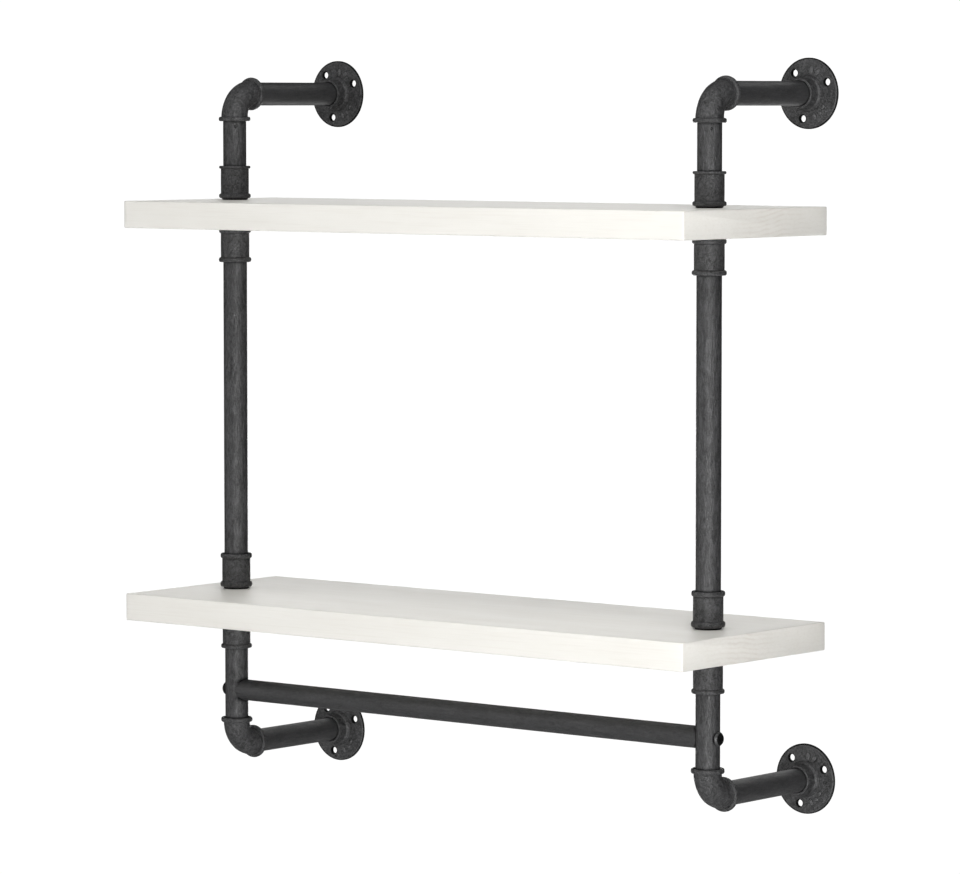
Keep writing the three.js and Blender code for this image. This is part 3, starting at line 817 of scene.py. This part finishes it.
def screw_mesh():
    H, R = HEAD_H, HEAD_R
    outline = [(0.0, -H)] + rounded([(0.0, -H), (R - 1.45, -H, 0.5), (R, -1.15, 0.6), (R, -0.3, 0.3), (R - 0.35, 0.0)], 6)[1:]
    outline += rounded([(SHANK_R, 0.0), (SHANK_R, SHANK_L - 0.6, 0.2), (SHANK_R - 0.6, SHANK_L, 0.2)])
    outline += [(0.0, SHANK_L)]
    v, f = turned(fine(outline, 0.9, closed=False), 72)
    me = raw_mesh("screw", v, f)
    v, f = turned([(0.0, -H - 1), (1.85, -H - 1), (1.85, -H + 1.6), (0.0, -H + 2.0)], 6)
    key = raw_mesh("key", v, f)
    v, f = turned([(0.0, -H - 1), (2.9, -H - 1), (1.6, -H + 0.3), (0.0, -H + 0.3)], 36)
    mouth = raw_mesh("mouth", v, f)
    return booleans(me, cutters=[key, mouth])


# ------------------------------------------------------------------ assembly

HALF = BOARD_T / 2
upper_top, upper_bottom = UPPER_Z + HALF + BOARD_GAP, UPPER_Z - HALF - BOARD_GAP
lower_top, lower_bottom = LOWER_Z + HALF + BOARD_GAP, LOWER_Z - HALF - BOARD_GAP
foot = -ARM_Z + REACH
flange_shape = flange_mesh()
screw_shape = screw_mesh()

for level, z, seed in (("upper", UPPER_Z, 3), ("lower", LOWER_Z, 8)):
    me = board_mesh(seed)
    local = coords(me)
    ob = piece(f"{level}_shelf_board", me, at(0, BOARD_Y, z), WOOD, seed, sharp=50.0)
    # where along the end the rings show best, and how far they step up there, in millimetres
    best_at, rise = (20.0, 3.4) if level == "upper" else (-14.0, -2.6)
    spot_at = me.attributes.new("local", "FLOAT_VECTOR", "POINT")
    spot_at.data.foreach_set("vector", ((local - (0.0, best_at, 0.0)) * 0.001).astype(np.float32).ravel())
    hole_y = me.attributes.new("hole_y", "FLOAT", "POINT")
    hole_y.data.foreach_set("value", np.full(len(me.vertices), (UPRIGHT_Y - BOARD_Y - best_at) * 0.001, np.float32))
    lean = me.attributes.new("lean", "FLOAT", "POINT")
    lean.data.foreach_set("value", np.full(len(me.vertices), rise * 0.001, np.float32))

seed = 20
for side, x in (("left", -UPRIGHT_X), ("right", UPRIGHT_X)):
    y = UPRIGHT_Y
    inward = 1 if x < 0 else -1

    def pipe(node, span, z, bar_height=None, radius=PIPE_R):
        global seed
        seed += 1
        me = pipe_mesh(span, seed, radius=radius)
        if bar_height is not None:
            me = drill(me, 2.8, bar_height)
        if node == "top_nipple":
            me = pit(me, span - 4.7, 45)

        # painted shade: darker at both ends where the pipe runs into its fittings, in wedges above and below the bar's
        # joint, and under the screw head
        def crevice_shade(co):
            out = 0.5 * np.clip(1.1 - np.minimum(co[:, 2], span - co[:, 2]) / 0.8, 0, 1)
            if bar_height is not None:
                d = np.hypot(co[:, 1], co[:, 2] - bar_height)
                steep = np.clip((np.abs(co[:, 2] - bar_height) / BAR_R - 0.5) / 0.3, 0, 1)
                joint = np.exp(-(np.maximum(d - BAR_R, 0) / 1.7) ** 2) * steep * (co[:, 0] * inward > 0)
                under = 0.75 * np.clip((HEAD_R - d) / 0.6, 0, 1) * (co[:, 0] * inward < 0)
                out = np.maximum(out, np.maximum(joint, under))
            return out

        piece(f"{node}_{side}", me, at(x, y, z), PIPE, seed, crevice_shade=crevice_shade)

    over_upper, under_upper, over_lower, under_lower = (COUPLINGS[k][0] for k in COUPLINGS)
    pipe("top_nipple", (ARM_Z - REACH) - (upper_top + over_upper), upper_top + over_upper)
    pipe("middle_pipe", (upper_bottom - under_upper) - (lower_top + over_lower), lower_top + over_lower, radius=MIDDLE_R)
    pipe("lower_pipe", (lower_bottom - under_lower) - foot, foot, BAR_Z - foot)

    for node, z, flip, turn in (
        ("coupling_above_upper_board", upper_top, False, 20), ("coupling_below_upper_board", upper_bottom, True, 75),
        ("coupling_above_lower_board", lower_top, False, 140), ("coupling_below_lower_board", lower_bottom, True, 250),
    ):
        seed += 1
        spin = Matrix.Rotation(math.radians(turn + (35 if side == "right" else 0)), 4, "Z")
        length = COUPLINGS[node][0]

        # painted shade: darker at the foot against the board and inside the bore, and on the coupling above the lower
        # board also in a dip beside its far band
        def crevice_shade(co):
            r = np.hypot(co[:, 0], co[:, 1])
            out = np.maximum(np.clip((1.3 - co[:, 2]) / 0.7, 0, 1) * 0.8, (r < MOUTH_R + 0.6) * 0.55)
            if node == "coupling_above_lower_board":
                length, _, _, (far_e, _, _, far_half) = COUPLINGS[node]
                out = np.maximum(out, 0.3 * np.exp(-((co[:, 2] - (length - far_e - far_half - 0.7)) / 0.6) ** 2))
            return out

        piece(f"{node}_{side}", coupling_mesh(seed, node), at(x, y, z, (X180 if flip else Matrix.Identity(4)) @ spin), CAST, seed,
              crevice_shade=crevice_shade)

    for level, z in (("upper", ARM_Z), ("lower", -ARM_Z)):
        seed += 1

        # painted shade: darker inside the mouths of both ports
        def crevice_shade(co):
            down = np.hypot(co[:, 0], co[:, 1]) < MOUTH_R + 0.6
            back_port = np.hypot(co[:, 0], co[:, 2]) < MOUTH_R + 0.3
            return (down & (co[:, 2] < -REACH + 2.5)) * 0.5 + (back_port & (co[:, 1] > REACH - 2.5)) * 0.7

        piece(f"elbow_{level}_{side}", elbow_mesh(seed, level == "upper"), at(x, y, z, Y180 if z < 0 else None), CAST, seed,
              crevice_shade=crevice_shade)
        seed += 1
        span = (-HUB_H) - (UPRIGHT_Y + REACH)
        # painted shade at both ends of the arm, where it runs into its fittings
        piece(f"arm_pipe_{level}_{side}", pipe_mesh(span, seed), at(x, y + REACH, z, Z_TO_Y), ARM, seed,
              crevice_shade=lambda co: 0.3 * np.clip(1.1 - np.minimum(co[:, 2], span - co[:, 2]) / 0.8, 0, 1))
        seed += 1
        piece(f"wall_flange_{level}_{side}", flange_shape.copy(), at(x, 0, z, Z_TO_BACK), CAST, seed,
              crevice_shade=flange_shade, painted_highlight=flange_highlight)

    seed += 1
    turn = Z_TO_X if inward > 0 else Matrix.Rotation(-math.pi / 2, 4, "Y")
    spin = Matrix.Rotation(math.radians(11 if inward > 0 else 41), 4, "Z")
    upright_in_head = (turn @ spin).to_3x3().inverted() @ Vector((0, 0, 1))
    # painted shade on the head's face and over the whole head of the left screw, and a painted highlight on the right
    # screw's flank
    piece(f"bar_screw_{side}", screw_shape.copy(), at(x - inward * (PIPE_R + 0.3), y, BAR_Z, turn @ spin), SCREW, seed,
          sharp=30.0, crevice_shade=lambda co: np.maximum(np.clip((HEAD_R - 1.15 - np.hypot(co[:, 0], co[:, 1])) / 0.2, 0, 1), 0.85 * (inward > 0)) * (co[:, 2] < 0),
          painted_highlight=lambda co: (co[:, 2] < -0.4) * (0.9 if inward < 0 else 0.0) * np.clip(1.25 - 1.6 * np.abs(co @ np.array(upright_in_head)) / HEAD_R, 0, 1))


def bar_end_shade(co):
    """Painted shade at the bar's ends where they meet the uprights, strongest above and below. co is in the bar's own
    frame, with Z along the bar.
    """
    side = np.hypot(co[:, 0], co[:, 1])
    depth = UPRIGHT_X - np.sqrt(np.maximum((PIPE_R + 0.3) ** 2 - co[:, 1] ** 2, 0)) - np.abs(co[:, 2])
    steep = np.clip((np.abs(co[:, 0]) / BAR_R - 0.5) / 0.3, 0, 1)
    return np.clip((2.6 - depth) / 1.3, 0, 1) * (0.04 + 0.3 * steep) * (side > 7.0)


piece("towel_bar", bar_mesh(), at(0, UPRIGHT_Y, BAR_Z, Z_TO_X), BAR, 77, crevice_shade=bar_end_shade)

for node in ("board_nipple_upper_left", "board_nipple_upper_right", "board_nipple_lower_left", "board_nipple_lower_right",
             "bar_plug_left", "bar_plug_right"):
    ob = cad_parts[node]
    ob.data.materials.clear()
    ob.data.materials.append(HIDDEN)

# ------------------------------------------------------------------ floor and light


def plane(name, size, z):
    me = bpy.data.meshes.new(name)
    s = size / 2
    me.from_pydata([(-s, -s, z), (s, -s, z), (s, s, z), (-s, s, z)], [], [(0, 1, 2, 3)])
    ob = bpy.data.objects.new(name, me)
    bpy.context.scene.collection.objects.link(ob)
    return ob


floor = plane("floor", 40.0, -1.1)
fm = Nodes("pale_floor")
fm.bsdf.inputs["Base Color"].default_value = (0.82, 0.82, 0.82, 1.0)
fm.bsdf.inputs["Roughness"].default_value = 0.9
fm.bsdf.inputs["Specular IOR Level"].default_value = 0.1
# seen directly it is plain white; its underside lets the view through
white = fm.add("ShaderNodeEmission", Color=(1.0, 1.0, 1.0, 1.0), Strength=1.04)
seen_by = fm.t.nodes.new("ShaderNodeLightPath")
front = fm.t.nodes.new("ShaderNodeMixShader")
fm.link(seen_by.outputs["Is Camera Ray"], front.inputs[0])
fm.link(fm.bsdf.outputs[0], front.inputs[1])
fm.link(white.outputs[0], front.inputs[2])
clear = fm.t.nodes.new("ShaderNodeBsdfTransparent")
under = fm.t.nodes.new("ShaderNodeNewGeometry")
both = fm.t.nodes.new("ShaderNodeMixShader")
fm.link(under.outputs["Backfacing"], both.inputs[0])
fm.link(front.outputs[0], both.inputs[1])
fm.link(clear.outputs[0], both.inputs[2])
fm.link(both.outputs[0], fm.t.nodes["Material Output"].inputs["Surface"])
floor.data.materials.append(fm.m)


def area(name, place, aim, size, power):
    data = bpy.data.lights.new(name, "AREA")
    data.shape, data.size, data.size_y = "RECTANGLE", size[0], size[1]
    data.energy = power
    ob = bpy.data.objects.new(name, data)
    bpy.context.scene.collection.objects.link(ob)
    ob.location = place
    ob.rotation_mode = "QUATERNION"
    ob.rotation_quaternion = (Vector(aim) - Vector(place)).to_track_quat("-Z", "Y")
    ob.visible_camera = False
    return ob


# soft boxes all round, 1.2 m wide at 3 m and 0.6 m wide at 1.5 m: name, azimuth from the front towards +X, elevation, distance, watts
SOFT_BOXES = (
    ("left", -40, 15, 3.0, 12.0), ("right_high", 60, 50, 3.0, 25.7), ("key_low_right", 50, -12, 3.0, 47.3), ("left_high", -75, 50, 3.0, 8.9),
    ("left_low", -50, -12, 3.0, 6.9), ("back", 180, 35, 3.0, 5.0), ("back_left_high", -140, 65, 3.0, 2.1), ("side_high", 100, 50, 3.0, 2.3),
    ("near_low", 40, -15, 1.5, 3.5), ("near_right", 40, 10, 1.5, 2.55), ("near_high", 25, 40, 1.5, 3.7), ("near_left_low", -20, -30, 1.5, 1.4),
)
# light from behind: low over the wood only, then a rim on each arm's inner side, then on all but the arms from below
BOARD_BOXES = (("back_glow_low", -141, 6, 3.0, 18.6), ("back_glow", -141, 18, 3.0, 10.9))
ARM_BOXES = {
    "arm_pipe_upper_left": ("under_rim_left", -165, -50, 1.45, 2.4), "arm_pipe_upper_right": ("under_rim_right", -141, -50, 1.45, 8.0),
    "arm_pipe_lower_left": ("over_rim_left", -141, 42, 3.0, 11.0), "arm_pipe_lower_right": ("over_rim_right", -141, 42, 3.0, 17.0),
}


def soft_box(name, azimuth, elevation, distance, watts, middle=(0.0, -0.12, 0.0), only=None):
    a, e = math.radians(azimuth), math.radians(elevation)
    d = Vector((math.sin(a) * math.cos(e), -math.cos(a) * math.cos(e), math.sin(e)))
    ob = area(name, Vector(middle) + d * distance, middle, (0.4 * distance, 0.4 * distance), watts)
    if only is not None:
        lit_only = bpy.data.collections.new(name + "_receivers")
        for target in only:
            lit_only.objects.link(target)
        ob.light_linking.receiver_collection = lit_only


for box in SOFT_BOXES:
    soft_box(*box)
for box in BOARD_BOXES:
    soft_box(*box, only=[ob for ob in PIECES if ob.name.endswith("shelf_board")])
for node, box in ARM_BOXES.items():
    middle = (-UPRIGHT_X * 0.001 if "left" in node else UPRIGHT_X * 0.001, -0.07, ARM_Z * 0.001 if "upper" in node else -ARM_Z * 0.001)
    soft_box(*box, middle=middle, only=[ob for ob in PIECES if ob.name == "look_" + node])
soft_box("behind_low", -141, -13, 3.0, 36.0, only=[ob for ob in PIECES if "arm_pipe" not in ob.name])

world = bpy.data.worlds.new("studio")
bpy.context.scene.world = world
world.use_nodes = True
wt = world.node_tree
wt.nodes.clear()
seen = wt.nodes.new("ShaderNodeBackground")
seen.inputs[0].default_value, seen.inputs[1].default_value = (1.0, 1.0, 1.0, 1.0), 1.04
lit = wt.nodes.new("ShaderNodeBackground")
lit.inputs[0].default_value, lit.inputs[1].default_value = (1.0, 1.0, 1.0, 1.0), 0.03
which = wt.nodes.new("ShaderNodeLightPath")
both = wt.nodes.new("ShaderNodeMixShader")
out = wt.nodes.new("ShaderNodeOutputWorld")
wt.links.new(which.outputs["Is Camera Ray"], both.inputs[0])
wt.links.new(lit.outputs[0], both.inputs[1])
wt.links.new(seen.outputs[0], both.inputs[2])
wt.links.new(both.outputs[0], out.inputs["Surface"])

view = bpy.context.scene.view_settings
view.view_transform, view.look, view.exposure, view.gamma = "Standard", "None", 0.0, 1.0
